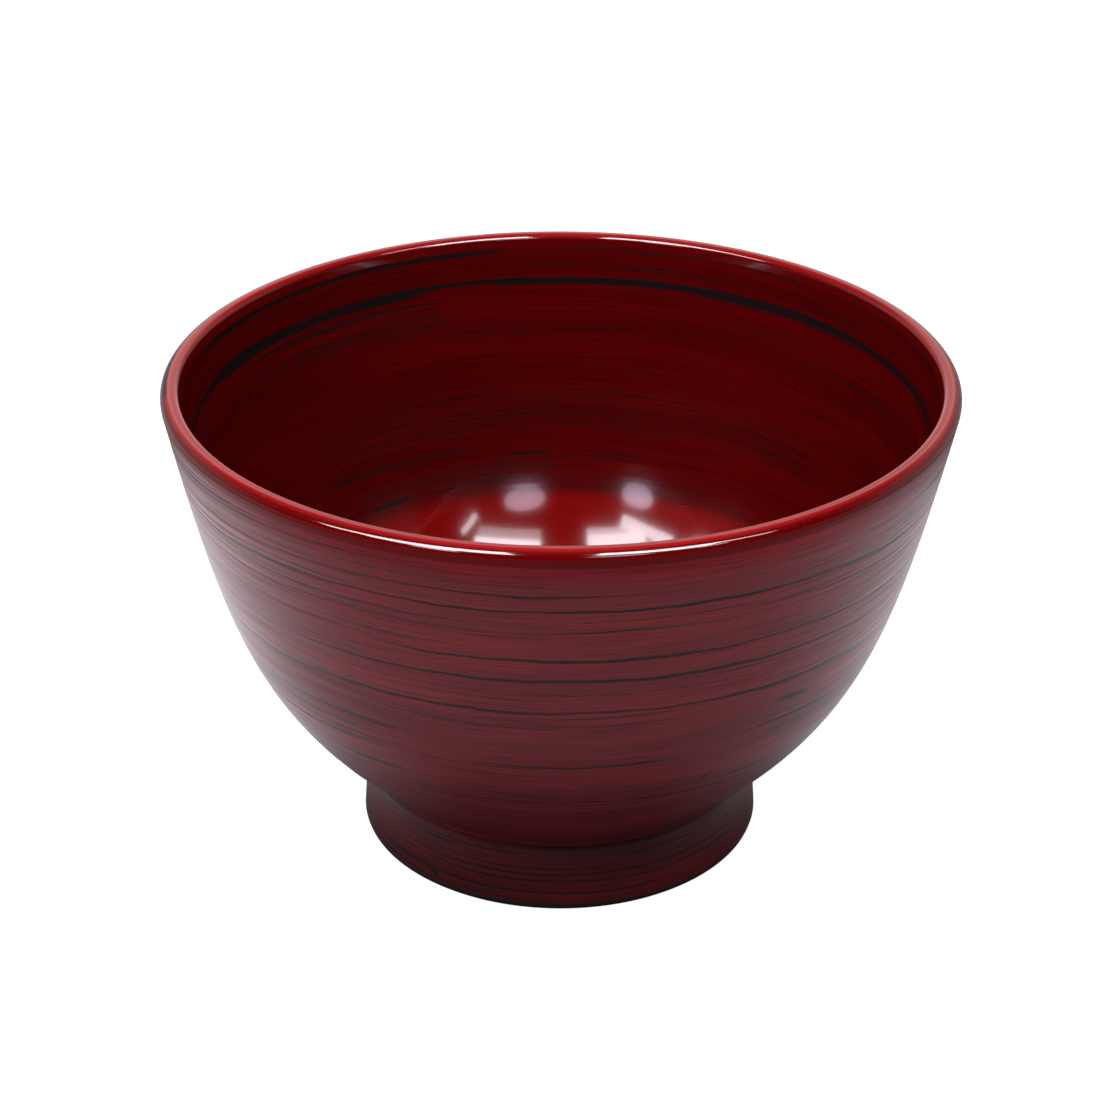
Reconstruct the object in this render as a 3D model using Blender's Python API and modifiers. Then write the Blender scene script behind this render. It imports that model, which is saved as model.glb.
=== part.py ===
"""A turned and lacquered wooden soup bowl on a foot ring.

The bowl is a wood core turned on a lathe, under separate coats of lacquer: a black undercoat inside and
outside, brushed red coats over it, a polished coat over the rim and a black coat under the foot.
Units are metres, +Z is up, and the origin is the centre of the foot ring's resting face.

Every piece is turned about the Z axis. A profile holds (radius, height) points that run from the middle
of the floor out and up the inner wall, over the rim, down the outer wall and the foot, and back to the
axis under the bowl, so the material always lies on the right-hand side of the line.
"""

import math

import bpy
from mathutils import Vector

# Finished outside sizes.
RIM_RADIUS = 0.0600
HEIGHT = 0.0765
FOOT_HEIGHT = 0.0116
NECK_RADIUS = 0.0309
FOOT_RADIUS = 0.0317

# Rim.
RIM_THICKNESS = 0.0029
RIM_OUTER_ROUND = 0.0014
RIM_INNER_ROUND = 0.0010

# Outer wall: how far it leans from vertical at the rim and from horizontal at the neck, and how
# strongly each end holds that direction.
OUTER_RIM_LEAN = math.radians(11.5)
OUTER_RIM_PULL = 0.0395
OUTER_NECK_RISE = math.radians(42.4)
OUTER_NECK_PULL = 0.0240

# Inner wall and floor.
FLOOR_HEIGHT = 0.0135
INNER_RIM_LEAN = math.radians(12.4)
INNER_RIM_PULL = 0.0600
FLOOR_REACH = 0.0323

# Foot ring and the well inside it.
FOOT_EDGE_ROUND = 0.0008
FOOT_RING_WIDTH = 0.0036
WELL_DEPTH = 0.0080
WELL_TAPER = 0.0008
WELL_ROUND = 0.0012

# Lacquer: thickness of a coat, clearance between neighbours, and where one coat hands over to the next.
COAT = 0.00025
GAP = 0.00020
RIM_COAT_OUTSIDE = 0.0024
RIM_COAT_INSIDE = 0.0020
FOOT_COAT_START = 0.0012

# Fineness of the turned surfaces.
STEPS_AROUND = 48
INNER_WALL_POINTS = 12
OUTER_WALL_POINTS = 9
ROUND_POINTS = 3
MERGE_DISTANCE = 0.00001
FINDING_STEPS = 40


def toward(angle):
    """Unit direction in the (radius, height) plane; 0 points away from the axis and 90 degrees up."""
    return Vector((math.cos(angle), math.sin(angle)))


def along(curve, t):
    """Point at t, from 0 to 1, on a cubic curve given as start, two handles and end."""
    start, start_handle, end_handle, end = curve
    s = 1.0 - t
    return s**3 * start + 3 * s * s * t * start_handle + 3 * s * t * t * end_handle + t**3 * end


def stretch(curve, first, last, count):
    """Points spread evenly between two positions on a curve."""
    return [along(curve, first + (last - first) * i / (count - 1)) for i in range(count)]


def arc(centre, radius, first, last, count):
    """Points on a circular arc between two angles."""
    return [centre + radius * toward(first + (last - first) * i / (count - 1)) for i in range(count)]


def position_at_height(curve, height):
    """Position on a curve at a height, for a curve that only rises or only falls."""
    low, high = 0.0, 1.0
    rising = along(curve, high).y > along(curve, low).y
    for _ in range(FINDING_STEPS):
        middle = (low + high) / 2
        if (along(curve, middle).y < height) == rising:
            low = middle
        else:
            high = middle
    return (low + high) / 2


def inset(path, depth):
    """The path moved into the material by depth, with true corners; a point on the axis stays on it."""
    normals = []
    for here, after in zip(path, path[1:]):
        step = (after - here).normalized()
        normals.append(Vector((-step.y, step.x)))
    moved = []
    for point, a, b in zip(path, normals[:1] + normals, normals + normals[-1:]):
        inside = point - depth * (a + b) / (1 + a.dot(b))
        if point.x == 0.0:
            inside.x = 0.0
        moved.append(inside)
    return moved


# The two arcs that round the rim, and the two walls that run into them.
OUTER_ARC_CENTRE = Vector((RIM_RADIUS - RIM_OUTER_ROUND, HEIGHT - RIM_OUTER_ROUND))
INNER_ARC_CENTRE = Vector((RIM_RADIUS - RIM_THICKNESS + RIM_INNER_ROUND, HEIGHT - RIM_INNER_ROUND))
OUTER_TOP = OUTER_ARC_CENTRE + RIM_OUTER_ROUND * toward(-OUTER_RIM_LEAN)
INNER_TOP = INNER_ARC_CENTRE + RIM_INNER_ROUND * toward(math.pi - INNER_RIM_LEAN)
NECK = Vector((NECK_RADIUS, FOOT_HEIGHT))
OUTER_WALL = (
    OUTER_TOP,
    OUTER_TOP + OUTER_RIM_PULL * toward(-OUTER_RIM_LEAN - math.pi / 2),
    NECK + OUTER_NECK_PULL * toward(OUTER_NECK_RISE),
    NECK,
)
INNER_WALL = (
    Vector((0.0, FLOOR_HEIGHT)),
    Vector((FLOOR_REACH, FLOOR_HEIGHT)),
    INNER_TOP + INNER_RIM_PULL * toward(-INNER_RIM_LEAN - math.pi / 2),
    INNER_TOP,
)
FOOT_SIDE = (Vector((NECK_RADIUS, FOOT_HEIGHT)), Vector((FOOT_RADIUS, FOOT_EDGE_ROUND)))


def foot_side_at(height):
    """Point on the straight outer face of the foot ring."""
    top, bottom = FOOT_SIDE
    return bottom.lerp(top, (height - bottom.y) / (top.y - bottom.y))


def inner_path():
    """Floor and inner wall, up to the edge of the rim coat."""
    last = position_at_height(INNER_WALL, HEIGHT - RIM_COAT_INSIDE - GAP)
    return stretch(INNER_WALL, 0.0, last, INNER_WALL_POINTS)


def rim_path():
    """Round the rim, from a little way down the inner wall to the lower edge of the polished band."""
    inner_leg = stretch(INNER_WALL, position_at_height(INNER_WALL, HEIGHT - RIM_COAT_INSIDE), 1.0, 2)
    inner_round = arc(INNER_ARC_CENTRE, RIM_INNER_ROUND, math.pi - INNER_RIM_LEAN, math.pi / 2, ROUND_POINTS)
    outer_round = arc(OUTER_ARC_CENTRE, RIM_OUTER_ROUND, math.pi / 2, -OUTER_RIM_LEAN, ROUND_POINTS + 1)
    outer_leg = stretch(OUTER_WALL, 0.0, position_at_height(OUTER_WALL, HEIGHT - RIM_COAT_OUTSIDE), 2)
    return inner_leg + inner_round[1:] + outer_round + outer_leg[1:]


def wall_path():
    """Outer wall, from the polished band to the neck."""
    first = position_at_height(OUTER_WALL, HEIGHT - RIM_COAT_OUTSIDE - GAP)
    return stretch(OUTER_WALL, first, 1.0, OUTER_WALL_POINTS)


def foot_path():
    """Outer face of the foot ring, from just under the neck."""
    return [foot_side_at(FOOT_HEIGHT - GAP), foot_side_at(FOOT_COAT_START)]


def underside_path():
    """Edge of the foot ring, its resting face, the wall of the well and the underside of the floor."""
    edge_start = foot_side_at(FOOT_COAT_START - GAP)
    outer_centre = Vector((FOOT_RADIUS - FOOT_EDGE_ROUND, FOOT_EDGE_ROUND))
    inner_centre = Vector((FOOT_RADIUS - FOOT_RING_WIDTH + FOOT_EDGE_ROUND, FOOT_EDGE_ROUND))
    well_corner = Vector((inner_centre.x - FOOT_EDGE_ROUND - WELL_TAPER, WELL_DEPTH))
    well_centre = well_corner - Vector((WELL_ROUND, WELL_ROUND))
    outer_edge = arc(outer_centre, FOOT_EDGE_ROUND, 0.0, -math.pi / 2, ROUND_POINTS)
    inner_edge = arc(inner_centre, FOOT_EDGE_ROUND, -math.pi / 2, -math.pi, ROUND_POINTS)
    corner = arc(well_centre, WELL_ROUND, 0.0, math.pi / 2, ROUND_POINTS)
    return [edge_start] + outer_edge + inner_edge + corner + [Vector((0.0, WELL_DEPTH))]


def lacquer(name, color, roughness):
    """Coloured lacquer, a hard natural resin."""
    material = bpy.data.materials.new(name)
    material.use_nodes = True
    surface = material.node_tree.nodes["Principled BSDF"]
    surface.inputs["Base Color"].default_value = (*color, 1.0)
    surface.inputs["Roughness"].default_value = roughness
    surface.inputs["Metallic"].default_value = 0.0
    return material


def turned(name, profile, material, collection, axis):
    """A piece turned from a profile; a profile that ends away from the axis is closed to a loop."""
    mesh = bpy.data.meshes.new(name)
    edges = [(i, i + 1) for i in range(len(profile) - 1)]
    if profile[-1].x > MERGE_DISTANCE:
        edges.append((len(profile) - 1, 0))
    mesh.from_pydata([(p.x, 0.0, p.y) for p in profile], edges, [])
    mesh.materials.append(material)
    piece = bpy.data.objects.new(name, mesh)
    screw = piece.modifiers.new("turning", "SCREW")
    screw.axis = "Z"
    screw.steps = STEPS_AROUND
    screw.render_steps = STEPS_AROUND
    screw.use_smooth_shade = True
    screw.use_merge_vertices = True
    screw.merge_threshold = MERGE_DISTANCE
    piece.parent = axis
    collection.objects.link(piece)
    return piece


def skin(path, depth):
    """Profile of a coat whose outer face lies depth below the finished surface."""
    return inset(path, depth) + inset(path, depth + COAT)[::-1]


def clear_scene():
    """Remove every object of the startup scene."""
    for item in list(bpy.data.objects):
        bpy.data.objects.remove(item)


def build():
    """Model the core and its coats, all turned about one axis."""
    clear_scene()
    collection = bpy.data.collections.new("lacquered_soup_bowl")
    bpy.context.scene.collection.children.link(collection)
    axis = bpy.data.objects.new("bowl_axis", None)
    collection.objects.link(axis)

    wood = lacquer("sealed_wood", (0.33, 0.19, 0.09), 0.60)
    black = lacquer("black_lacquer", (0.008, 0.007, 0.007), 0.30)
    brushed_red = lacquer("brushed_red_lacquer", (0.115, 0.008, 0.009), 0.38)
    glossy_red = lacquer("glossy_red_lacquer", (0.140, 0.004, 0.006), 0.16)

    one_coat = COAT + GAP
    two_coats = 2 * one_coat
    outside = wall_path() + foot_path()
    core = (
        inset(inner_path(), two_coats)
        + inset(rim_path(), one_coat)
        + inset(outside, two_coats)
        + inset(underside_path(), one_coat)
    )
    pieces = (
        ("wood_core", core, wood),
        ("black_undercoat_inside", skin(inner_path(), one_coat), black),
        ("black_undercoat_outside", skin(outside, one_coat), black),
        ("red_coat_inside", skin(inner_path(), 0.0), glossy_red),
        ("red_coat_outside", skin(wall_path(), 0.0), brushed_red),
        ("rim_coat", skin(rim_path(), 0.0), glossy_red),
        ("foot_ring_coat", skin(foot_path(), 0.0), brushed_red),
        ("foot_well_coat", skin(underside_path(), 0.0), black),
    )
    for name, profile, material in pieces:
        turned(name, profile, material, collection, axis)


build()
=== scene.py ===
"""Looks of the lacquered soup bowl: turned meshes with brush relief, lacquer materials, light and camera.

Every piece follows the CAD model's profile. Distances along the surface are in millimetres and run from the
middle of the floor, up the inner wall, over the rim and down the outside; angles are round the bowl's axis.
"""

import math

import bpy
import numpy as np
from mathutils import Matrix, Quaternion, Vector


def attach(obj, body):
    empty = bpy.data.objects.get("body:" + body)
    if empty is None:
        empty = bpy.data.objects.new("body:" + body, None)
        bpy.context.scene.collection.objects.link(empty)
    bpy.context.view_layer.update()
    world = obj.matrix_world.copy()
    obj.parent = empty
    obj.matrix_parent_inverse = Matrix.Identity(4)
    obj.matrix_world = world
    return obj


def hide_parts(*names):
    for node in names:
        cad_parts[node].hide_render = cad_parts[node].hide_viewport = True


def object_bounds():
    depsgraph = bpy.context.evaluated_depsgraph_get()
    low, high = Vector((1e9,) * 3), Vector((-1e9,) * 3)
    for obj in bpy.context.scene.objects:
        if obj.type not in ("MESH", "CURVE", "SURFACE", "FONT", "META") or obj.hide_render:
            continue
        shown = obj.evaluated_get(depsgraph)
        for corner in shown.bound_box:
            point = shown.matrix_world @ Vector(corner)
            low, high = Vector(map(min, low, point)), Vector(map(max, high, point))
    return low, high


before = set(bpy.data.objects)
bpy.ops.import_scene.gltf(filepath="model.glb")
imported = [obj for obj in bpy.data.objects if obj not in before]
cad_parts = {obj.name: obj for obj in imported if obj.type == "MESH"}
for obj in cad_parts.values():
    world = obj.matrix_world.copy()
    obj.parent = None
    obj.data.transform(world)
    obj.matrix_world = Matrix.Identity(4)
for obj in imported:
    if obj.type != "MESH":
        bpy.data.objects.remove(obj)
CAD_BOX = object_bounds()

FULL_TURN = 2 * math.pi

# Sizes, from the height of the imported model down.
HEIGHT = CAD_BOX[1].z
MM = HEIGHT / 76.5
RIM_RADIUS = 60.0 * MM
NECK = np.array((30.9, 11.6)) * MM
FOOT_RADIUS = 31.7 * MM
RIM_THICKNESS = 2.9 * MM
OUTER_ROUND = 1.4 * MM
INNER_ROUND = 1.0 * MM
OUTER_RIM_LEAN = math.radians(11.5)
OUTER_RIM_PULL = 39.5 * MM
OUTER_NECK_RISE = math.radians(42.4)
OUTER_NECK_PULL = 24.0 * MM
FLOOR_HEIGHT = 13.5 * MM
INNER_RIM_LEAN = math.radians(12.4)
INNER_RIM_PULL = 60.0 * MM
FLOOR_REACH = 32.3 * MM
NECK_ROUND = 1.1 * MM
FOOT_EDGE_ROUND = 0.8 * MM
FOOT_RING_WIDTH = 3.6 * MM
WELL_DEPTH = 8.0 * MM
WELL_TAPER = 0.8 * MM
WELL_ROUND = 1.2 * MM
COAT = 0.25 * MM
GAP = 0.20 * MM
RIM_BAND_OUTSIDE = 2.4 * MM
RIM_BAND_INSIDE = 2.0 * MM
FOOT_COAT_START = 1.2 * MM

# Fineness of the profiles and the meshes.
WALL_POINTS = 600
ARC_POINTS = 24
SIDE_POINTS = 80
BEND_POINTS = 25
COLUMNS = 192
HIDDEN_COLUMNS = 96
WALL_ROWS = 420
RIM_ROWS = 72
FOOT_ROWS = 60
WELL_ROWS = 90
BACK_ROWS = 40
SHARP_EDGE = math.radians(40)

# Strips of the bake image that hold the front and the back of a coat.
FRONT_STRIP = (0.01, 0.92)
BACK_STRIP = (0.94, 0.99)


# ---------------------------------------------------------------------------------------------------------
# Profiles, as rows of (radius, height), with the material on the right-hand side of the way they run
# ---------------------------------------------------------------------------------------------------------
def toward(angle):
    """Unit direction; 0 points away from the axis and a quarter turn points up."""
    return np.array((math.cos(angle), math.sin(angle)))


def cubic(start, start_handle, end_handle, end):
    """Points on a cubic curve."""
    t = np.linspace(0, 1, WALL_POINTS)[:, None]
    s = 1 - t
    return s**3 * start + 3 * s * s * t * start_handle + 3 * s * t * t * end_handle + t**3 * end


def arc(centre, radius, first, last):
    """Points on a circular arc between two angles."""
    angles = np.linspace(first, last, ARC_POINTS)[:, None]
    return centre + radius * np.hstack((np.cos(angles), np.sin(angles)))


def lengths(path):
    """Distance along a path at each of its points."""
    return np.concatenate(([0.0], np.cumsum(np.hypot(*np.diff(path, axis=0).T))))


def resample(path, count):
    """The same line as evenly spaced points."""
    along = lengths(path)
    places = np.linspace(0, along[-1], count)
    return np.stack([np.interp(places, along, values) for values in path.T], axis=1)


def outward(path):
    """Unit normals that point out of the material; a point on the axis has an upright one."""
    steps = np.gradient(path, lengths(path), axis=0)
    steps /= np.hypot(steps[:, :1], steps[:, 1:])
    normals = np.stack((-steps[:, 1], steps[:, 0]), axis=1)
    on_axis = path[:, 0] == 0
    normals[on_axis, 1] = np.sign(normals[on_axis, 1])
    normals[on_axis, 0] = 0
    return normals


def cut_at_height(path, height):
    """A path that only rises or only falls, cut in two."""
    rising = path[-1, 1] > path[0, 1]
    ordered = path if rising else path[::-1]
    cut = np.array((np.interp(height, ordered[:, 1], ordered[:, 0]), height))
    first = (path[:, 1] < height) == rising
    return np.vstack((path[first], cut)), np.vstack((cut, path[~first]))


OUTER_CENTRE = np.array((RIM_RADIUS - OUTER_ROUND, HEIGHT - OUTER_ROUND))
INNER_CENTRE = np.array((RIM_RADIUS - RIM_THICKNESS + INNER_ROUND, HEIGHT - INNER_ROUND))
OUTER_TOP = OUTER_CENTRE + OUTER_ROUND * toward(-OUTER_RIM_LEAN)
INNER_TOP = INNER_CENTRE + INNER_ROUND * toward(math.pi - INNER_RIM_LEAN)


def inner_wall():
    """From the middle of the floor up to the rim's inner rounding."""
    middle = np.array((0.0, FLOOR_HEIGHT))
    lower_handle = np.array((FLOOR_REACH, FLOOR_HEIGHT))
    upper_handle = INNER_TOP + INNER_RIM_PULL * toward(-INNER_RIM_LEAN - math.pi / 2)
    return cubic(middle, lower_handle, upper_handle, INNER_TOP)


def outer_wall():
    """From the rim's outer rounding down to the neck above the foot."""
    upper_handle = OUTER_TOP + OUTER_RIM_PULL * toward(-OUTER_RIM_LEAN - math.pi / 2)
    lower_handle = NECK + OUTER_NECK_PULL * toward(OUTER_NECK_RISE)
    return cubic(OUTER_TOP, upper_handle, lower_handle, NECK)


def foot_side():
    """The slightly flared outer face of the foot ring."""
    t = np.linspace(0, 1, SIDE_POINTS)[:, None]
    return NECK + t * (np.array((FOOT_RADIUS, FOOT_EDGE_ROUND)) - NECK)


def soften_neck(wall, side):
    """Wall and foot side joined by a small rounding, and cut apart again at its middle."""
    wall = wall[lengths(wall)[-1] - lengths(wall) > NECK_ROUND]
    side = side[lengths(side) > NECK_ROUND]
    t = np.linspace(0, 1, BEND_POINTS)[:, None]
    bend = (1 - t) ** 2 * wall[-1] + 2 * (1 - t) * t * NECK + t**2 * side[0]
    middle = len(bend) // 2
    return np.vstack((wall, bend[1 : middle + 1])), np.vstack((bend[middle:], side[1:]))


WALL_AND_BAND, FOOT_AND_EDGE = soften_neck(outer_wall(), foot_side())
INNER_PATH, INNER_LEG = cut_at_height(inner_wall(), HEIGHT - RIM_BAND_INSIDE)
OUTER_LEG, WALL_PATH = cut_at_height(WALL_AND_BAND, HEIGHT - RIM_BAND_OUTSIDE)
FOOT_PATH, FOOT_EDGE = cut_at_height(FOOT_AND_EDGE, FOOT_COAT_START)
INNER_ARC = arc(INNER_CENTRE, INNER_ROUND, math.pi - INNER_RIM_LEAN, math.pi / 2)
OUTER_ARC = arc(OUTER_CENTRE, OUTER_ROUND, math.pi / 2, -OUTER_RIM_LEAN)
RIM_PATH = np.vstack((INNER_LEG[:-1], INNER_ARC, OUTER_ARC, OUTER_LEG[1:]))


def underside():
    """Lower edge of the foot ring, its resting face, the well's wall and the underside of the floor."""
    outer = np.array((FOOT_RADIUS - FOOT_EDGE_ROUND, FOOT_EDGE_ROUND))
    inner = np.array((FOOT_RADIUS - FOOT_RING_WIDTH + FOOT_EDGE_ROUND, FOOT_EDGE_ROUND))
    corner = np.array((inner[0] - FOOT_EDGE_ROUND - WELL_TAPER - WELL_ROUND, WELL_DEPTH - WELL_ROUND))
    return np.vstack((
        FOOT_EDGE[:-1],
        arc(outer, FOOT_EDGE_ROUND, 0, -math.pi / 2),
        arc(inner, FOOT_EDGE_ROUND, -math.pi / 2, -math.pi),
        arc(corner, WELL_ROUND, 0, math.pi / 2),
        np.array(((0.0, WELL_DEPTH),)),
    ))


WELL_PATH = underside()

# Landmarks on the surface, as distances from the middle of the floor. The floor's edge is where the brushed
# wall begins.
RIM_START = lengths(INNER_PATH)[-1] / MM
INNER_LIP = RIM_START + lengths(INNER_LEG)[-1] / MM
CROWN_EDGE = INNER_LIP + (lengths(INNER_ARC)[-1] + OUTER_CENTRE[0] - INNER_CENTRE[0]) / MM
WALL_START = RIM_START + lengths(RIM_PATH)[-1] / MM
FOOT_START = WALL_START + lengths(WALL_PATH)[-1] / MM
WELL_START = FOOT_START + lengths(FOOT_PATH)[-1] / MM
FLOOR_EDGE = INNER_LIP - 43.0


# ---------------------------------------------------------------------------------------------------------
# Turned meshes
# ---------------------------------------------------------------------------------------------------------
def rings_on(path, normals, theta, offset):
    """Rings of points on a path, moved along its normals; a point on the axis stays one point."""
    rings = []
    for point, normal, shift in zip(path, normals, offset):
        if point[0] == 0:
            rings.append(np.array(((0.0, 0.0, point[1] + normal[1] * shift.mean()),)))
            continue
        radius = point[0] + normal[0] * shift
        height = point[1] + normal[1] * shift
        rings.append(np.stack((radius * np.cos(theta), radius * np.sin(theta), height), axis=1))
    return rings


def faces_between(first, second, first_size, second_size, columns):
    """Faces between neighbouring rings, given the index of each ring's first point and its size."""
    here = np.arange(columns)
    after = np.roll(here, -1)
    if first_size == 1:
        corners = (here * 0 + first, second + here, second + after)
    elif second_size == 1:
        corners = (first + here, here * 0 + second, first + after)
    else:
        corners = (first + here, second + here, second + after, first + after)
    return np.stack(corners, axis=1).tolist()


def add_bake_coordinates(mesh, ring_sizes, front_rows, columns):
    """Coordinates for baking: round the bowl by along it, with the back in a narrow strip of its own."""
    front = np.linspace(*FRONT_STRIP, front_rows)
    back = np.linspace(*BACK_STRIP, len(ring_sizes) - front_rows)
    upward = np.repeat(np.concatenate((front, back)), ring_sizes)
    around = np.concatenate([np.arange(size) for size in ring_sizes])
    corners = np.zeros(len(mesh.loops), np.int32)
    mesh.loops.foreach_get("vertex_index", corners)
    starts = np.zeros(len(mesh.polygons), np.int32)
    mesh.polygons.foreach_get("loop_start", starts)
    u = around[corners].astype(float)
    widest = np.maximum.reduceat(u, starts)
    crosses_seam = np.repeat(widest == columns - 1, np.diff(np.append(starts, len(u))))
    u[crosses_seam & (u == 0)] = columns
    layer = mesh.uv_layers.new(name="OFBake")
    layer.data.foreach_set("uv", np.stack((u / columns, upward[corners]), axis=1).ravel())


def turned(name, node, material, rings, along, fields, front_rows, closed):
    """Make an object from its rings, riding on the frame in place of a CAD node.

    Its faces join each ring to the next, and in a closed piece the last ring to the first. A coat whose front
    face ends on the axis is joined at its outer edge instead, so its back face comes first.
    """
    columns = max(len(ring) for ring in rings)
    sizes = [len(ring) for ring in rings]
    first = np.concatenate(([0], np.cumsum(sizes)))
    order = list(range(len(rings)))
    if closed:
        order.append(0)
    elif sizes[front_rows - 1] == 1 and front_rows < len(rings):
        order = order[front_rows:] + order[:front_rows]
    faces = []
    for a, b in zip(order, order[1:]):
        faces += faces_between(first[a], first[b], sizes[a], sizes[b], columns)
    mesh = bpy.data.meshes.new(name)
    mesh.from_pydata(np.vstack(rings), [], faces)
    round_turn = np.linspace(0, FULL_TURN, columns, endpoint=False)
    theta = np.concatenate([round_turn[:size] for size in sizes])
    stroke = np.stack((np.cos(theta), np.sin(theta), np.repeat(along, sizes)), axis=1)
    mesh.attributes.new("stroke", "FLOAT_VECTOR", "POINT").data.foreach_set("vector", stroke.ravel())
    for field, values in fields.items():
        flat = np.concatenate([row[:size] for row, size in zip(values, sizes)])
        mesh.attributes.new(field, "FLOAT", "POINT").data.foreach_set("value", flat)
    add_bake_coordinates(mesh, sizes, front_rows, columns)
    mesh.shade_smooth()
    mesh.set_sharp_from_angle(angle=SHARP_EDGE)
    mesh.materials.append(material)
    piece = bpy.data.objects.new(name, mesh)
    bpy.context.scene.collection.objects.link(piece)
    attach(piece, "root")
    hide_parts(node)


def coat(name, node, material, path, rows, start=0.0, brush=None, depth=0.0, columns=COLUMNS):
    """A closed coat of lacquer: a fine front face with brush work on it, and a plain back face."""
    theta = np.linspace(0, FULL_TURN, columns, endpoint=False)
    front = resample(path, rows)
    along = start + lengths(front) / MM
    around, place = np.meshgrid(theta, along)
    fields = brush(around, place) if brush else {}
    relief = fields.pop("relief", np.zeros_like(around))
    back_rows = np.unique(np.linspace(rows - 1, 0, BACK_ROWS).astype(int))[::-1]
    flat = np.zeros((len(back_rows), columns))
    normals = outward(front)
    fronts = rings_on(front, normals, theta, relief * MM - depth)
    backs = rings_on(front[back_rows], normals[back_rows], theta, flat - depth - COAT)
    fields = {field: np.vstack((values, flat)) for field, values in fields.items()}
    closed = front[0, 0] > 0 and front[-1, 0] > 0
    places = np.concatenate((along, along[back_rows]))
    turned(name, node, material, fronts + backs, places, fields, rows, closed)


def core(name, node, material, sections):
    """The solid wood under the coats, from (path, rows, depth below the finished surface) sections."""
    theta = np.linspace(0, FULL_TURN, HIDDEN_COLUMNS, endpoint=False)
    rings = []
    for path, rows, depth in sections:
        path = resample(path, rows)
        rings += rings_on(path, outward(path), theta, np.full((rows, HIDDEN_COLUMNS), -depth))
    along = np.linspace(0, WELL_START, len(rings))
    turned(name, node, material, rings, along, {}, len(rings), False)


# ---------------------------------------------------------------------------------------------------------
# Brush work: where the bristles bare the undercoat, and the relief that they leave
# ---------------------------------------------------------------------------------------------------------
def smooth(x):
    """Smooth change from 0 to 1 as x goes from 0 to 1."""
    x = np.clip(x, 0, 1)
    return x * x * (3 - 2 * x)


def streak(around, place, at, width, middle, span, strength):
    """One stroke of bare undercoat, tapered at its ends and wandering a little; angles in degrees."""
    turn = np.abs((around - math.radians(middle) + math.pi) % FULL_TURN - math.pi)
    half_span = math.radians(span) / 2
    taper = smooth((half_span - turn) / (0.35 * half_span + 0.04))
    wander = 0.14 * np.sin(2 * around + 7 * at) + 0.05 * np.sin(9 * around + 3 * at)
    half = width / 2 * (0.4 + 0.6 * taper) * (0.82 + 0.18 * np.sin(5 * around + 11 * at))
    reach = np.abs(place - at - wander) / half
    return strength * np.sqrt(taper) * np.exp(-0.45 * reach**3)


def streaks(around, place, origin, sign, strokes):
    """The strongest of several strokes, whose places count from origin, onward (1) or back (-1)."""
    field = np.zeros_like(around)
    for at, *shape in strokes:
        field = np.maximum(field, streak(around, place, origin + sign * at, *shape))
    return field


def scattered(seed, count, first, last, widths, spans, strengths, middles=(0, 360)):
    """Strokes at random between two places, each other value between the two that are given."""
    random = np.random.default_rng(seed)
    ranges = (widths, middles, spans, strengths)
    places = np.linspace(first, last, count) + random.uniform(-0.5, 0.5, count) * (last - first) / count
    return [(at, *(random.uniform(*limits) for limits in ranges)) for at in places]


def ridges(around, place, seed, wavelengths):
    """Turning and bristle ridges, between -1 and 1: waves across the brush, slowly changing along it."""
    random = np.random.default_rng(seed)
    total = np.zeros_like(around)
    for wavelength in wavelengths:
        phase = random.uniform(0, FULL_TURN)
        bend = random.uniform(0.4, 1.8)
        turns = random.integers(1, 5)
        fade = 0.55 + 0.45 * np.sin(turns * around + 3 * phase)
        wave = np.sin(FULL_TURN * place / wavelength + bend * np.sin(turns * around) + phase)
        total += wavelength * fade * wave
    return total / sum(wavelengths)


def between(place, first, last, fade):
    """1 between two places, falling to 0 over the fade inside each end."""
    return smooth((place - first) / fade) * smooth((last - place) / fade)


# Strokes on the outer wall: place below the crown's outer edge, width, middle, span and strength.
WALL_STREAKS = [
    (4.8, 0.42, 222, 92, 0.8),
    (8.2, 0.45, 250, 66, 0.9),
    (10.9, 0.55, 268, 170, 1.0),
    (11.0, 0.75, 316, 36, 1.0),
    (12.4, 0.34, 285, 40, 0.7),
    (13.2, 0.45, 232, 70, 0.9),
    (14.8, 0.40, 240, 80, 0.8),
    (16.8, 0.34, 258, 40, 0.55),
    (19.6, 0.60, 292, 118, 1.0),
    (23.6, 0.60, 281, 130, 1.0),
    (29.5, 0.60, 262, 200, 1.0),
    (29.9, 0.80, 313, 44, 1.0),
    (32.4, 0.50, 268, 62, 0.62),
    (33.6, 0.95, 309, 11, 1.0),
    (36.7, 1.00, 224, 50, 1.0),
    (38.0, 0.85, 317, 38, 1.0),
    (38.9, 0.60, 221, 42, 0.95),
    (40.4, 0.60, 316, 30, 0.85),
    (41.2, 0.50, 271, 44, 0.9),
    (42.1, 0.60, 224, 40, 0.95),
    (46.8, 0.85, 223, 46, 1.0),
    (47.9, 0.90, 296, 6, 0.95),
    (48.8, 0.45, 300, 46, 0.65),
    (50.9, 0.60, 270, 74, 0.72),
    (59.4, 0.70, 256, 60, 0.52),
]
WALL_SCATTER = scattered(3, 64, 2.5, 56, (0.28, 0.55), (24, 120), (0.45, 0.78))
WALL_REVERSE = scattered(9, 24, 3.0, 60, (0.4, 0.65), (60, 190), (0.8, 1.0), (0, 180))
FOOT_STREAKS = scattered(6, 14, 0.9, 9.5, (0.3, 0.6), (40, 260), (0.5, 1.0))
FOOT_WEAR = [
    (2.6, 0.80, 230, 24, 0.80),
    (9.0, 1.50, 232, 6, 1.00),
]

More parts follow.
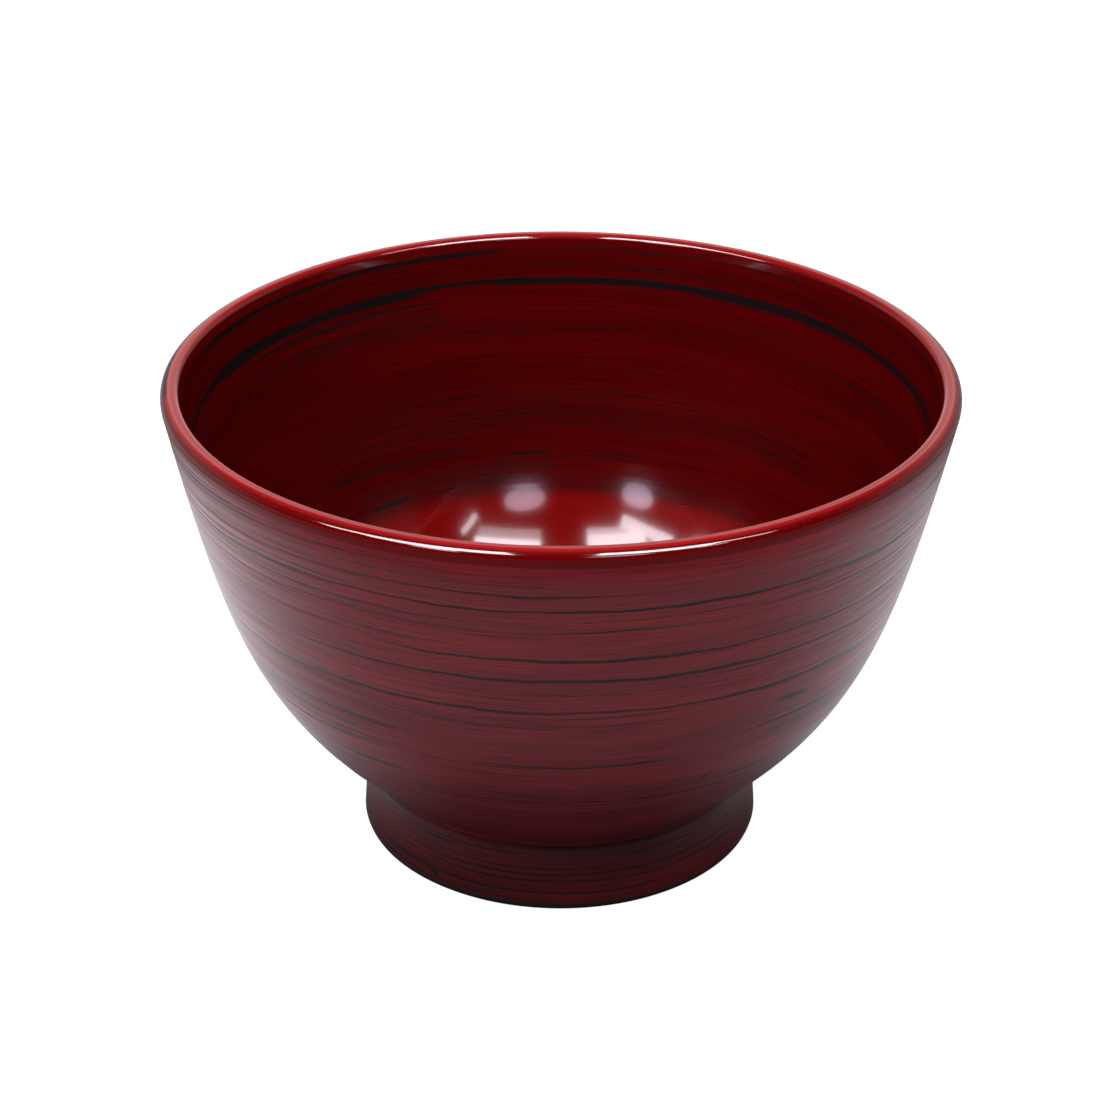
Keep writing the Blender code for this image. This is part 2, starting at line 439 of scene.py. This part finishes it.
# Strokes inside: place below the inner lip, width, middle, span and strength. Those at the lip run from the
# inside coat on to the polished band.
LIP_STREAKS = [
    (1.7, 1.10, 134, 88, 0.78),
    (1.6, 0.80, 66, 66, 0.62),
    (1.5, 0.80, 10, 80, 0.60),
    (1.5, 0.90, 262, 190, 0.8),
]
INNER_STREAKS = LIP_STREAKS + [
    (4.3, 0.50, 84, 44, 0.6),
    (5.2, 0.50, 38, 50, 0.55),
    (7.1, 1.50, 26, 116, 1.0),
    (7.1, 1.70, 85, 42, 1.0),
    (6.7, 1.00, 108, 36, 0.9),
    (7.4, 2.20, 140, 66, 0.90),
    (7.2, 1.30, 255, 240, 1.0),
    (9.4, 0.75, 134, 56, 0.72),
    (10.0, 0.60, 126, 40, 0.55),
    # The wide entries at 12.2 and 39.4 darken broad soft patches towards the back left of the inside wall.
    (12.2, 5.00, 134, 70, 0.48),
    (15.4, 0.80, 104, 30, 0.50),
    (35.2, 1.30, 126, 48, 0.62),
    (36.6, 0.80, 96, 14, 0.75),
    (36.7, 0.80, 78, 16, 0.70),
    (39.4, 6.00, 113, 62, 0.50),
    (41.2, 1.20, 129, 16, 0.80),
]
INNER_SCATTER = scattered(11, 44, 2.0, 24, (0.35, 0.8), (24, 120), (0.30, 0.62))
INNER_SMUDGES = scattered(13, 26, 34.5, 42.0, (0.6, 1.7), (8, 50), (0.2, 0.5), (80, 300))

# Worn places on the outside of the polished band, given like the outer wall's strokes.
RIM_WEAR = [
    (0.9, 0.90, 181, 26, 0.75),
    (0.8, 0.90, 352, 20, 0.40),
    (0.4, 0.35, 20, 30, 0.60),
]

# Even bristle lines across the back of the inside wall: spacing, and where they start and end.
COMB_PITCH = 0.95
COMB_START = INNER_LIP - 35
COMB_END = INNER_LIP - 23

# How much lower the outer strokes run at the sides and back than at the front, and on the right than in
# the middle.
SIDE_DROP = 1.6
RIGHT_DROP = 0.3


def inner_brush(around, place):
    """Brush work of the inside wall, with even bristle lines on its back; the floor is left smooth."""
    bare = streaks(around, place, INNER_LIP, -1, INNER_STREAKS + INNER_SCATTER + INNER_SMUDGES)
    wall = smooth((place - FLOOR_EDGE) / 1.4)
    comb = np.sin(FULL_TURN * place / COMB_PITCH + 1.5 * np.sin(2 * around))
    comb *= between(place, COMB_START, COMB_END, 3)
    facing_side = smooth((np.sin(around) - 0.25) / 0.5)
    bare = np.maximum(bare, 0.80 * comb * facing_side)
    waves = ridges(around, place, 21, (0.8, 1.0, 1.4, 2.1, 3.3))
    edge = smooth((RIM_START - place) / 1.0)
    return {"bare": bare * wall, "relief": wall * edge * (0.006 * waves - 0.012 * bare)}


def rim_brush(around, place):
    """Polished band: the undercoat shows in a ragged line under the lip and in worn places outside."""
    lip = streaks(around, place, INNER_LIP, -1, LIP_STREAKS)
    return {"bare": np.maximum(lip, streaks(around, place, CROWN_EDGE, 1, RIM_WEAR))}


def wall_brush(around, place):
    """Brush work of the outer wall, with a ridged surface and a groove under each dark stroke.

    The strokes run higher at the front than round the sides and back, and waver as a hand does.
    """
    brushed = place - SIDE_DROP * smooth((1 + np.sin(around)) / 0.7) - RIGHT_DROP * np.cos(around)
    brushed += 0.08 * np.sin(17 * around + 0.9 * place) + 0.06 * np.sin(43 * around - 1.3 * place)
    bare = streaks(around, brushed, CROWN_EDGE, 1, WALL_STREAKS + WALL_SCATTER + WALL_REVERSE)
    bare *= 0.88 * between(place, WALL_START, FOOT_START, 0.8)
    waves = ridges(around, brushed, 22, (0.7, 0.95, 1.3, 1.8, 2.5, 3.7))
    relief = between(place, WALL_START, FOOT_START, 1.2) * (0.030 * waves - 0.045 * bare)
    return {"bare": bare, "relief": relief}


def foot_brush(around, place):
    """Brush work of the foot ring."""
    bare = streaks(around, place, FOOT_START, 1, FOOT_STREAKS + FOOT_WEAR)
    waves = ridges(around, place, 23, (0.6, 0.8, 1.1, 1.7))
    relief = between(place, FOOT_START, WELL_START, 0.8) * (0.015 * waves - 0.03 * bare)
    return {"bare": bare, "relief": relief}


# ---------------------------------------------------------------------------------------------------------
# Materials
# ---------------------------------------------------------------------------------------------------------
class Graph:
    """The shader nodes of a material or a world, with short names for those used here."""

    def __init__(self, owner):
        owner.use_nodes = True
        self.owner = owner
        self.tree = owner.node_tree

    def put(self, socket, value):
        """Link an output to a socket, or set the socket to a plain value."""
        if isinstance(value, bpy.types.NodeSocket):
            self.tree.links.new(value, socket)
        elif isinstance(value, tuple):
            socket.default_value = (*value, 1.0)[: len(socket.default_value)]
        else:
            socket.default_value = value

    def node(self, kind, *inputs, **settings):
        """A node with its first inputs filled in order."""
        made = self.tree.nodes.new(kind)
        for key, value in settings.items():
            setattr(made, key, value)
        for socket, value in zip(made.inputs, inputs):
            self.put(socket, value)
        return made

    def attribute(self, name, output="Fac"):
        """A value that the mesh holds at each point."""
        return self.node("ShaderNodeAttribute", attribute_name=name).outputs[output]

    def math(self, operation, a, b=0.0):
        """Arithmetic on one or two values."""
        return self.node("ShaderNodeMath", a, b, operation=operation).outputs[0]

    def add(self, a, b):
        """Sum of two values."""
        return self.math("ADD", a, b)

    def times(self, a, b):
        """Product of two values."""
        return self.math("MULTIPLY", a, b)

    def noise(self, vector, scale, detail=2.0, roughness=0.5):
        """Noise from 0 to 1 about 0.5, on coordinates scaled by three factors."""
        scaled = self.node("ShaderNodeVectorMath", vector, scale, operation="MULTIPLY").outputs[0]
        made = self.node("ShaderNodeTexNoise", scaled)
        made.inputs["Scale"].default_value = 1.0
        made.inputs["Detail"].default_value = detail
        made.inputs["Roughness"].default_value = roughness
        return made.outputs["Fac"]

    def ramp(self, value, low, high, out_low=0.0, out_high=1.0):
        """Smooth change as value goes from low to high."""
        made = self.node("ShaderNodeMapRange", value, low, high, out_low, out_high)
        made.interpolation_type = "SMOOTHSTEP"
        return made.outputs[0]

    def mix(self, factor, a, b):
        """Colour a where factor is 0 and b where it is 1."""
        made = self.node("ShaderNodeMix", factor, data_type="RGBA")
        self.put(made.inputs[6], a)
        self.put(made.inputs[7], b)
        return made.outputs[2]

    def bump(self, height, distance):
        """Normal of a surface raised by height, which is worth distance where it is 1."""
        made = self.node("ShaderNodeBump")
        made.inputs["Distance"].default_value = distance
        self.put(made.inputs["Height"], height)
        return made.outputs[0]

    def finish(self, **values):
        """Fill the Principled surface's sockets, named with _ for each space, and give the material."""
        surface = self.tree.nodes["Principled BSDF"]
        for name, value in values.items():
            self.put(surface.inputs[name.replace("_", " ")], value)
        return self.owner


UNDERCOAT = (0.0030, 0.0028, 0.0032)


def showing(g, bare, grain, hairs):
    """How much undercoat shows: the strokes with edges made ragged by the bristles."""
    by_grain = g.times(g.math("SUBTRACT", grain, 0.5), 0.55)
    by_hairs = g.times(g.math("SUBTRACT", hairs, 0.5), 0.75)
    return g.ramp(g.add(bare, g.add(by_grain, by_hairs)), 0.32, 0.78, 0.0, 0.95)


def brushed_red(name, bright, dark, streaky, shine):
    """Satin red brushed round: dark streaks, faint bands and hair-fine bristle marks."""
    g = Graph(bpy.data.materials.new(name))
    stroke = g.attribute("stroke", "Vector")
    place = g.node("ShaderNodeSeparateXYZ", stroke).outputs[2]
    bands = g.noise(stroke, (0.9, 0.9, 0.25), 2)
    hairs = g.noise(stroke, (3.0, 3.0, 4.5), 4, 0.6)
    lines = g.noise(stroke, (1.5, 1.5, 1.7), 1)
    grain = g.noise(stroke, (45.0, 45.0, 5.0), 2)
    red = g.mix(g.ramp(bands, 0.3, 0.7), dark, bright)
    red = g.mix(g.ramp(hairs, 0.40, 0.70, 0.0, 0.75), red, tuple(0.35 * channel for channel in dark))
    bare = g.math("MAXIMUM", g.attribute("bare"), g.ramp(lines, 0.58, 0.78, 0.0, streaky))
    relief = g.add(g.times(hairs, 0.85), g.times(grain, 0.15))
    return g.finish(
        Base_Color=g.mix(showing(g, bare, grain, hairs), red, UNDERCOAT),
        Roughness=g.ramp(hairs, 0.3, 0.75, 0.34, 0.48),
        Specular_IOR_Level=g.ramp(place, WALL_START - 0.5, WALL_START + 5.5, 0.14, shine),
        Normal=g.bump(relief, 0.010 * MM),
    )


def polished_red():
    """Rim band: an even red, painted lighter on the crown as top light and darker down its inner and outer
    sides as shade, with a high polish on its rounded sides and satin by the wall.
    """
    g = Graph(bpy.data.materials.new("rim_red"))
    stroke = g.attribute("stroke", "Vector")
    place = g.node("ShaderNodeSeparateXYZ", stroke).outputs[2]
    bands = g.noise(stroke, (1.5, 1.5, 0.6), 2)
    hairs = g.noise(stroke, (4.0, 4.0, 4.5), 3, 0.6)
    grain = g.noise(stroke, (30.0, 30.0, 4.0), 2)
    # The crown's lighter red is painted top light; the darker reds given to the inner and outer sides below
    # are painted shade.
    red = g.mix(g.ramp(bands, 0.3, 0.7), (0.160, 0.0038, 0.0042), (0.200, 0.0050, 0.0054))
    painted_shade_inner_side = g.ramp(place, INNER_LIP - 0.2, INNER_LIP + 1.0, 1.0, 0.0)
    painted_shade_outer_side = g.ramp(place, CROWN_EDGE + 0.3, CROWN_EDGE + 1.2)
    red = g.mix(painted_shade_inner_side, red, (0.050, 0.0005, 0.0006))
    red = g.mix(painted_shade_outer_side, red, (0.062, 0.0005, 0.0006))
    satin = g.ramp(place, WALL_START - 1.6, WALL_START - 0.7)
    inner_side = g.ramp(place, INNER_LIP + 0.7, INNER_LIP + 1.3, 1.0, 0.0)
    rounded = g.math("MAXIMUM", inner_side, g.ramp(place, CROWN_EDGE - 0.3, CROWN_EDGE + 0.2))
    return g.finish(
        Base_Color=g.mix(showing(g, g.attribute("bare"), grain, hairs), red, UNDERCOAT),
        Roughness=g.add(g.ramp(rounded, 0.0, 1.0, 0.24, 0.09), g.times(satin, 0.30)),
        Coat_Weight=g.times(g.ramp(satin, 0.0, 0.8, 1.0, 0.0), g.ramp(rounded, 0.0, 1.0, 0.2, 0.8)),
        Coat_Roughness=0.04,
        Specular_IOR_Level=g.ramp(satin, 0.0, 1.0, 0.5, 0.12),
        Normal=g.bump(g.noise(stroke, (9.0, 9.0, 0.9), 2), 0.012 * MM),
    )


def inner_red():
    """Inside: dark brushed wall with fine bristle lines, then a smooth floor with a high polish; the floor's
    brighter red is painted top light and the wall's darker red is painted shade.
    """
    g = Graph(bpy.data.materials.new("inside_red"))
    stroke = g.attribute("stroke", "Vector")
    place = g.node("ShaderNodeSeparateXYZ", stroke).outputs[2]
    bands = g.noise(stroke, (0.8, 0.8, 0.2), 2)
    hairs = g.noise(stroke, (2.5, 2.5, 4.0), 4, 0.6)
    grain = g.noise(stroke, (40.0, 40.0, 5.0), 2)
    patches = g.noise(stroke, (6.0, 6.0, 0.5), 3)
    # The wall's darker red is painted shade; the floor's lighter red further on is painted top light.
    red = g.mix(g.ramp(bands, 0.3, 0.7), (0.033, 0.0003, 0.0004), (0.047, 0.0004, 0.0005))
    red = g.mix(g.ramp(hairs, 0.42, 0.70, 0.0, 0.65), red, (0.016, 0.0003, 0.0003))
    wall = g.mix(showing(g, g.attribute("bare"), grain, hairs), red, UNDERCOAT)
    floor_red_painted_light = g.mix(patches, (0.095, 0.0008, 0.0008), (0.120, 0.0010, 0.0010))
    floor = g.ramp(g.add(place, g.times(patches, 1.4)), FLOOR_EDGE - 1.5, FLOOR_EDGE + 1.8, 1.0, 0.0)
    return g.finish(
        Base_Color=g.mix(floor, wall, floor_red_painted_light),
        Roughness=g.ramp(floor, 0.0, 1.0, 0.15, 0.115),
        Specular_IOR_Level=g.ramp(place, FLOOR_EDGE - 0.5, FLOOR_EDGE + 6.0, 0.5, 0.05),
        Coat_Weight=g.ramp(place, FLOOR_EDGE + 0.5, FLOOR_EDGE + 3.5, 0.45, 0.0),
        Coat_Roughness=0.06,
        Normal=g.bump(g.add(hairs, g.times(patches, 0.6)), 0.0030 * MM),
    )


def black_lacquer(name, roughness):
    """Black lacquer with a trace of brush marks."""
    g = Graph(bpy.data.materials.new(name))
    stroke = g.attribute("stroke", "Vector")
    hairs = g.noise(stroke, (3.0, 3.0, 3.5), 3, 0.6)
    return g.finish(
        Base_Color=g.mix(hairs, (0.0040, 0.0034, 0.0034), (0.0120, 0.0090, 0.0090)),
        Roughness=g.ramp(hairs, 0.3, 0.7, roughness, roughness + 0.10),
        Normal=g.bump(hairs, 0.003 * MM),
    )


def turned_wood():
    """Sealed wood under the lacquer, with rings along the grain."""
    g = Graph(bpy.data.materials.new("core_wood"))
    position = g.node("ShaderNodeTexCoord").outputs["Object"]
    warp = g.noise(position, (90.0, 12.0, 90.0), 4)
    rings = g.math("SINE", g.times(warp, 60.0))
    return g.finish(
        Base_Color=g.mix(g.ramp(rings, -1.0, 1.0), (0.40, 0.24, 0.12), (0.26, 0.14, 0.065)),
        Roughness=g.ramp(warp, 0.3, 0.7, 0.5, 0.65),
        Normal=g.bump(warp, 0.02 * MM),
    )


def build_bowl():
    """All eight pieces, each in place of its CAD node."""
    wall_red = brushed_red("wall_red", (0.122, 0.0026, 0.0060), (0.090, 0.0022, 0.0050), 0.62, 0.50)
    foot_red = brushed_red("foot_red", (0.046, 0.0012, 0.0020), (0.031, 0.0011, 0.0018), 0.75, 0.40)
    black = black_lacquer("well_black", 0.25)
    under = black_lacquer("undercoat_black", 0.35)
    outside = np.vstack((WALL_PATH, FOOT_PATH[1:]))
    coat("inside_coat", "red_coat_inside", inner_red(), INNER_PATH, WALL_ROWS, 0.0, inner_brush)
    coat("rim_band", "rim_coat", polished_red(), RIM_PATH, RIM_ROWS, RIM_START, rim_brush)
    coat("outside_coat", "red_coat_outside", wall_red, WALL_PATH, WALL_ROWS, WALL_START, wall_brush)
    coat("foot_coat", "foot_ring_coat", foot_red, FOOT_PATH, FOOT_ROWS, FOOT_START, foot_brush)
    coat("well_coat", "foot_well_coat", black, WELL_PATH, WELL_ROWS, WELL_START)
    under_depth = COAT + GAP
    core_depth = 2 * under_depth
    hidden = {"depth": under_depth, "columns": HIDDEN_COLUMNS}
    coat("undercoat_inside", "black_undercoat_inside", under, INNER_PATH, BACK_ROWS, 0.0, **hidden)
    coat("undercoat_outside", "black_undercoat_outside", under, outside, 2 * BACK_ROWS, WALL_START, **hidden)
    sections = (
        (INNER_PATH, BACK_ROWS, core_depth),
        (RIM_PATH, BACK_ROWS, under_depth),
        (outside, 2 * BACK_ROWS, core_depth),
        (WELL_PATH, WELL_ROWS, under_depth),
    )
    core("turned_core", "wood_core", turned_wood(), sections)


# ---------------------------------------------------------------------------------------------------------
# Floor, light and camera
# ---------------------------------------------------------------------------------------------------------
FLOOR_SIZE = 6.0
LIGHT_DISTANCE = 0.9
SOFTBOX_COLOR = (1.0, 0.96, 1.0)
SMALL_LIGHT_COLOR = (0.93, 0.77, 0.97)
CAMERA_PLACE = np.array((-1.0, -366.8, 236.1)) * MM
CAMERA_TILT = math.radians(27.5)
CAMERA_ROLL = math.radians(0.12)
CAMERA_LENS = 86.07
AIM_HEIGHT = 45.0 * MM

# Patches of light that make up the two large lights high in front, and those of the small lights and the
# fill lights: name, azimuth, elevation, edges across, edges upward, radiance and roll.
LARGE_LIGHTS = [
    ("right_light", 0, 50, (0.13, 0.64), (-0.055, 0.30), 16.0),
    ("right_light_edge", 0, 50, (0.13, 0.62), (-0.14, -0.055), 4.5),
    ("right_light_end", 0, 50, (0.69, 0.74), (-0.24, -0.04), 12.0, -38.0),
    ("left_light", 0, 50, (-0.64, -0.18), (-0.10, 0.30), 15.0),
    ("left_light_end", 0, 50, (-0.95, -0.64), (0.0, 0.30), 14.0),
    ("left_light_tail", 0, 50, (-1.40, -0.95), (0.07, 0.30), 11.0),
    ("right_light_tail", 0, 50, (0.64, 1.02), (0.16, 0.30), 10.0),
    ("left_light_edge", 0, 50, (-0.60, -0.18), (-0.15, -0.10), 8.0),
    ("left_light_fold", 0, 50, (-0.96, -0.42), (-0.13, -0.03), 13.0, -25.0),
]
SMALL_LIGHTS = [
    ("small_light_right", 16, 29, (-0.14, 0.14), (-0.04, 0.085), 4.6),
    ("small_light_left", -34, 27, (-0.11, 0.11), (-0.06, 0.05), 6.2),
]
FILL_LIGHTS = [
    ("left_fill", -80, 42, (-0.2, 0.2), (-0.2, 0.2), 13.0),
    ("right_fill", 80, 42, (-0.2, 0.2), (-0.2, 0.2), 8.5),
]


def facing(azimuth, elevation):
    """Direction from the bowl; azimuth 0 is toward the camera and positive to its right."""
    turn = math.radians(azimuth)
    rise = math.radians(elevation)
    return Vector((math.sin(turn) * math.cos(rise), -math.cos(turn) * math.cos(rise), math.sin(rise)))


def softbox(name, azimuth, elevation, across, upward, radiance, roll=0.0):
    """An area light in the plane that faces the bowl from a direction, given in degrees.

    Its edges lie at two places across that plane and two up it, as slopes seen from the bowl, before it is
    rolled about its own middle.
    """
    lamp = bpy.data.lights.new(name, "AREA")
    lamp.shape = "RECTANGLE"
    lamp.color = SOFTBOX_COLOR
    lamp.size = LIGHT_DISTANCE * (across[1] - across[0])
    lamp.size_y = LIGHT_DISTANCE * (upward[1] - upward[0])
    lamp.energy = radiance * math.pi * lamp.size * lamp.size_y
    light = bpy.data.objects.new(name, lamp)
    turn = facing(azimuth, elevation).to_track_quat("Z", "Y")
    centre = Vector((sum(across) / 2, sum(upward) / 2, 1))
    light.location = LIGHT_DISTANCE * (turn @ centre) + Vector((0, 0, AIM_HEIGHT))
    light.rotation_mode = "QUATERNION"
    light.rotation_quaternion = turn @ Quaternion((0, 0, 1), math.radians(roll))
    bpy.context.scene.collection.objects.link(light)
    return light


def floor_glow(g, position, distance):
    """Painted glow of the floor as the lacquer mirrors it and as the lacquer gathers it as light, by place on
    the floor: a painted shadow dim by the foot, brighter behind than in front, fading far out.

    Distances are in metres from the bowl's axis. The sine of the angle round it is 1 straight behind the bowl
    and -1 straight in front, and its cosine is 1 on the right.
    """
    parts = g.node("ShaderNodeSeparateXYZ", position)
    cosine = g.math("DIVIDE", parts.outputs[0], distance)
    sine = g.math("DIVIDE", parts.outputs[1], distance)
    # Painted shadow of the bowl on the floor's glow: dim by the foot, less so at the sides. The glow is also
    # painted brighter behind than in front and fades far out.
    beside = g.times(g.ramp(sine, -0.98, -0.65, 0.0, 0.8), g.ramp(distance, 0.036, 0.056, 0.15, 1.0))
    painted_foot_shadow = g.math("MAXIMUM", g.ramp(distance, 0.040, 0.086, 0.04, 1.0), beside)
    far = g.ramp(distance, 0.118, 0.170, 1.0, 0.15)
    round_bowl = g.times(g.ramp(sine, -0.75, 0.5, 0.38, 1.9), g.ramp(cosine, -0.9, 0.3, 1.2, 0.88))
    mirrored = g.times(round_bowl, g.times(painted_foot_shadow, far))
    gathered = g.times(g.ramp(sine, -0.9, 0.3, 0.9, 1.7), g.ramp(distance, 0.030, 0.065, 0.35, 1.0))
    return mirrored, gathered


def pale_floor():
    """A white floor for the camera; for the lacquer a painted glow, mirrored and gathered, with a painted
    shadow by the foot and brighter behind.
    """
    mesh = bpy.data.meshes.new("floor")
    half = FLOOR_SIZE / 2
    corners = [(-half, -half, 0), (half, -half, 0), (half, half, 0), (-half, half, 0)]
    mesh.from_pydata(corners, [], [(0, 1, 2, 3)])
    g = Graph(bpy.data.materials.new("pale_floor"))
    g.tree.nodes.remove(g.tree.nodes["Principled BSDF"])
    paths = g.node("ShaderNodeLightPath")
    camera_ray = paths.outputs["Is Camera Ray"]
    position = g.node("ShaderNodeTexCoord").outputs["Object"]
    speckle = g.noise(position, (40.0, 40.0, 40.0), 4)
    distance = g.node("ShaderNodeVectorMath", position, operation="LENGTH").outputs["Value"]
    mirrored, gathered = floor_glow(g, position, distance)
    seen = g.mix(speckle, (0.24, 0.24, 0.24), (0.26, 0.26, 0.26))
    diffuse = g.node("ShaderNodeBsdfDiffuse", g.mix(camera_ray, (0.0, 0.0, 0.0), seen))
    backdrop = g.ramp(distance, 0.15, 0.80, 0.82, 1.0)
    in_gloss = g.times(paths.outputs["Is Glossy Ray"], mirrored)
    in_matt = g.times(paths.outputs["Is Diffuse Ray"], gathered)
    strength = g.add(g.times(camera_ray, backdrop), g.add(in_gloss, in_matt))
    tint = g.mix(camera_ray, (0.98, 0.98, 1.05), (1.0, 1.0, 1.0))
    glow = g.node("ShaderNodeEmission", tint, strength)
    both = g.node("ShaderNodeAddShader", diffuse.outputs[0], glow.outputs[0])
    g.put(g.tree.nodes["Material Output"].inputs["Surface"], both.outputs[0])
    g.owner.cycles.emission_sampling = "NONE"
    mesh.materials.append(g.owner)
    floor = bpy.data.objects.new("floor", mesh)
    bpy.context.scene.collection.objects.link(floor)


def surroundings():
    """White for the camera; for the lacquer bright low down behind, less at the sides, and dark elsewhere."""
    world = bpy.data.worlds.new("studio")
    bpy.context.scene.world = world
    g = Graph(world)
    direction = g.node("ShaderNodeTexCoord").outputs["Generated"]
    parts = g.node("ShaderNodeSeparateXYZ", direction)
    low = g.ramp(parts.outputs[2], 0.44, 0.66, 0.76, 0.05)
    central = g.ramp(g.math("ABSOLUTE", parts.outputs[0]), 0.12, 0.42, 1.0, 0.30)
    back = g.ramp(parts.outputs[1], -0.25, 0.45, 0.0, 1.0)
    camera_ray = g.node("ShaderNodeLightPath").outputs["Is Camera Ray"]
    strength = g.math("MAXIMUM", g.times(g.times(low, central), back), camera_ray)
    background = g.tree.nodes["Background"]
    g.put(background.inputs["Strength"], strength)
    g.put(background.inputs["Color"], (1.0, 1.0, 1.0))


def camera():
    """The picture's viewpoint, in front of the bowl and looking down into it."""
    data = bpy.data.cameras.new("camera")
    data.lens = CAMERA_LENS
    data.clip_start = 0.01
    view = bpy.data.objects.new("camera", data)
    turn = Matrix.Rotation(math.pi / 2 - CAMERA_TILT, 4, "X") @ Matrix.Rotation(CAMERA_ROLL, 4, "Z")
    view.matrix_world = Matrix.Translation(CAMERA_PLACE) @ turn
    bpy.context.scene.collection.objects.link(view)
    bpy.context.scene.camera = view


def light_and_camera():
    """Large and small soft lights in front, fills that aren't mirrored, the surroundings and the camera."""
    for light in LARGE_LIGHTS:
        softbox(*light)
    for light in SMALL_LIGHTS:
        small = softbox(*light)
        small.data.shape = "ELLIPSE"
        small.data.color = SMALL_LIGHT_COLOR
    for light in FILL_LIGHTS:
        fill = softbox(*light)
        fill.visible_glossy = False
    surroundings()
    pale_floor()
    camera()
    bpy.context.scene.view_settings.view_transform = "Standard"


build_bowl()
light_and_camera()
